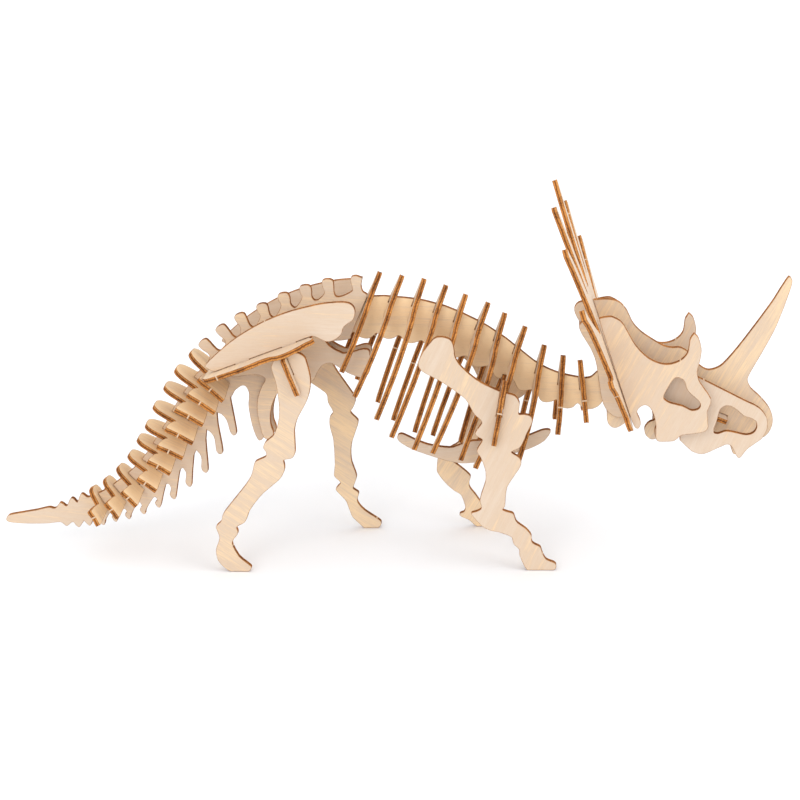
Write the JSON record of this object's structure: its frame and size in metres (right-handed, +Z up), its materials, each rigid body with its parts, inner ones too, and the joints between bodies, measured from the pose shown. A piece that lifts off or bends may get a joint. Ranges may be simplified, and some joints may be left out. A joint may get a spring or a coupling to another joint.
{
  "type": "wooden dinosaur skeleton puzzle",
  "caption": "Slot-together horned dinosaur skeleton of thin laser-cut birch plywood, standing on four plate legs, with ribs, tail plates and a spiked frill that lift out of their slots.",
  "frame": {"origin": "bottom centre of the bounding box, on the surface the feet stand on", "axes": "+X from the tail to the nose, +Y to the far side of the animal, +Z up"},
  "size_m": [0.417, 0.146, 0.1916],
  "materials": {
    "birch_light": "raw laser-cut birch plywood, pale faces, burnt brown edges",
    "birch_warm": "raw laser-cut birch plywood, warmer sheet, burnt brown edges"
  },
  "bodies": {
    "skeleton": {"tail_spine": "birch_light", "pelvis_plate_near": "birch_light", "pelvis_plate_far": "birch_light", "hip_shelf_near": "birch_warm", "hip_shelf_far": "birch_warm", "ilium_near": "birch_warm", "ilium_far": "birch_light", "hip_strut": "birch_light", "hind_leg_near": "birch_light", "hind_leg_far": "birch_warm", "body_spine": "birch_light", "shoulder_frame": "birch_light", "sternum": "birch_light", "front_leg_near": "birch_light", "front_leg_far": "birch_warm", "skull_center": "birch_light", "neck_plate_near": "birch_light", "neck_plate_far": "birch_light", "cheek_near": "birch_light", "cheek_far": "birch_light", "snout_near": "birch_light", "snout_far": "birch_light", "head_crossplate": "birch_light", "jaw_crossplate": "birch_light", "snout_crossbar": "birch_light"},
    "rib_01": {"rib_01": "birch_light"},
    "rib_02": {"rib_02": "birch_light"},
    "rib_03": {"rib_03": "birch_light"},
    "rib_04": {"rib_04": "birch_light"},
    "rib_05": {"rib_05": "birch_light"},
    "rib_06": {"rib_06": "birch_light"},
    "rib_07": {"rib_07": "birch_light"},
    "rib_08": {"rib_08": "birch_light"},
    "rib_09": {"rib_09": "birch_light"},
    "rib_10": {"rib_10": "birch_light"},
    "rib_11": {"rib_11": "birch_light"},
    "tail_vertebra_01": {"tail_vertebra_01": "birch_light"},
    "tail_vertebra_02": {"tail_vertebra_02": "birch_light"},
    "tail_vertebra_03": {"tail_vertebra_03": "birch_light"},
    "tail_vertebra_04": {"tail_vertebra_04": "birch_light"},
    "tail_vertebra_05": {"tail_vertebra_05": "birch_light"},
    "tail_vertebra_06": {"tail_vertebra_06": "birch_light"},
    "tail_vertebra_07": {"tail_vertebra_07": "birch_light"},
    "tail_vertebra_08": {"tail_vertebra_08": "birch_light"},
    "tail_vertebra_09": {"tail_vertebra_09": "birch_light"},
    "tail_vertebra_10": {"tail_vertebra_10": "birch_light"},
    "frill": {"frill": "birch_warm"}
  },
  "joints": [
    {"name": "rib_01_lift", "type": "slide", "parent": "skeleton", "child": "rib_01", "axis": [0.4115, 0, 0.9114], "range_m": [0, 0.013]},
    {"name": "rib_02_lift", "type": "slide", "parent": "skeleton", "child": "rib_02", "axis": [0.4147, 0, 0.91], "range_m": [0, 0.013]},
    {"name": "rib_03_lift", "type": "slide", "parent": "skeleton", "child": "rib_03", "axis": [0.3681, 0, 0.9298], "range_m": [0, 0.013]},
    {"name": "rib_04_lift", "type": "slide", "parent": "skeleton", "child": "rib_04", "axis": [0.3762, 0, 0.9265], "range_m": [0, 0.013]},
    {"name": "rib_05_lift", "type": "slide", "parent": "skeleton", "child": "rib_05", "axis": [0.3535, 0, 0.9354], "range_m": [0, 0.013]},
    {"name": "rib_06_lift", "type": "slide", "parent": "skeleton", "child": "rib_06", "axis": [0.3811, 0, 0.9245], "range_m": [0, 0.013]},
    {"name": "rib_07_lift", "type": "slide", "parent": "skeleton", "child": "rib_07", "axis": [0.3206, 0, 0.9472], "range_m": [0, 0.013]},
    {"name": "rib_08_lift", "type": "slide", "parent": "skeleton", "child": "rib_08", "axis": [0.3567, 0, 0.9342], "range_m": [0, 0.013]},
    {"name": "rib_09_lift", "type": "slide", "parent": "skeleton", "child": "rib_09", "axis": [0.2504, 0, 0.9681], "range_m": [0, 0.013]},
    {"name": "rib_10_lift", "type": "slide", "parent": "skeleton", "child": "rib_10", "axis": [0.108, 0, 0.9942], "range_m": [0, 0.013]},
    {"name": "rib_11_lift", "type": "slide", "parent": "skeleton", "child": "rib_11", "axis": [-0.0698, 0, 0.9976], "range_m": [0, 0.013]},
    {"name": "tail_vertebra_01_lift", "type": "slide", "parent": "skeleton", "child": "tail_vertebra_01", "axis": [-0.7193, 0, 0.6947], "range_m": [0, 0.011]},
    {"name": "tail_vertebra_02_lift", "type": "slide", "parent": "skeleton", "child": "tail_vertebra_02", "axis": [-0.8111, 0, 0.585], "range_m": [0, 0.011]},
    {"name": "tail_vertebra_03_lift", "type": "slide", "parent": "skeleton", "child": "tail_vertebra_03", "axis": [-0.8526, 0, 0.5225], "range_m": [0, 0.011]},
    {"name": "tail_vertebra_04_lift", "type": "slide", "parent": "skeleton", "child": "tail_vertebra_04", "axis": [-0.866, 0, 0.5], "range_m": [0, 0.011]},
    {"name": "tail_vertebra_05_lift", "type": "slide", "parent": "skeleton", "child": "tail_vertebra_05", "axis": [-0.891, 0, 0.454], "range_m": [0, 0.011]},
    {"name": "tail_vertebra_06_lift", "type": "slide", "parent": "skeleton", "child": "tail_vertebra_06", "axis": [-0.8526, 0, 0.5225], "range_m": [0, 0.011]},
    {"name": "tail_vertebra_07_lift", "type": "slide", "parent": "skeleton", "child": "tail_vertebra_07", "axis": [-0.7986, 0, 0.6018], "range_m": [0, 0.011]},
    {"name": "tail_vertebra_08_lift", "type": "slide", "parent": "skeleton", "child": "tail_vertebra_08", "axis": [-0.6561, 0, 0.7547], "range_m": [0, 0.011]},
    {"name": "tail_vertebra_09_lift", "type": "slide", "parent": "skeleton", "child": "tail_vertebra_09", "axis": [-0.5592, 0, 0.829], "range_m": [0, 0.011]},
    {"name": "tail_vertebra_10_lift", "type": "slide", "parent": "skeleton", "child": "tail_vertebra_10", "axis": [-0.4384, 0, 0.8988], "range_m": [0, 0.011]},
    {"name": "frill_lift", "type": "slide", "parent": "skeleton", "child": "frill", "axis": [-0.299, 0, 0.9542], "range_m": [0, 0.014]}
  ]
}
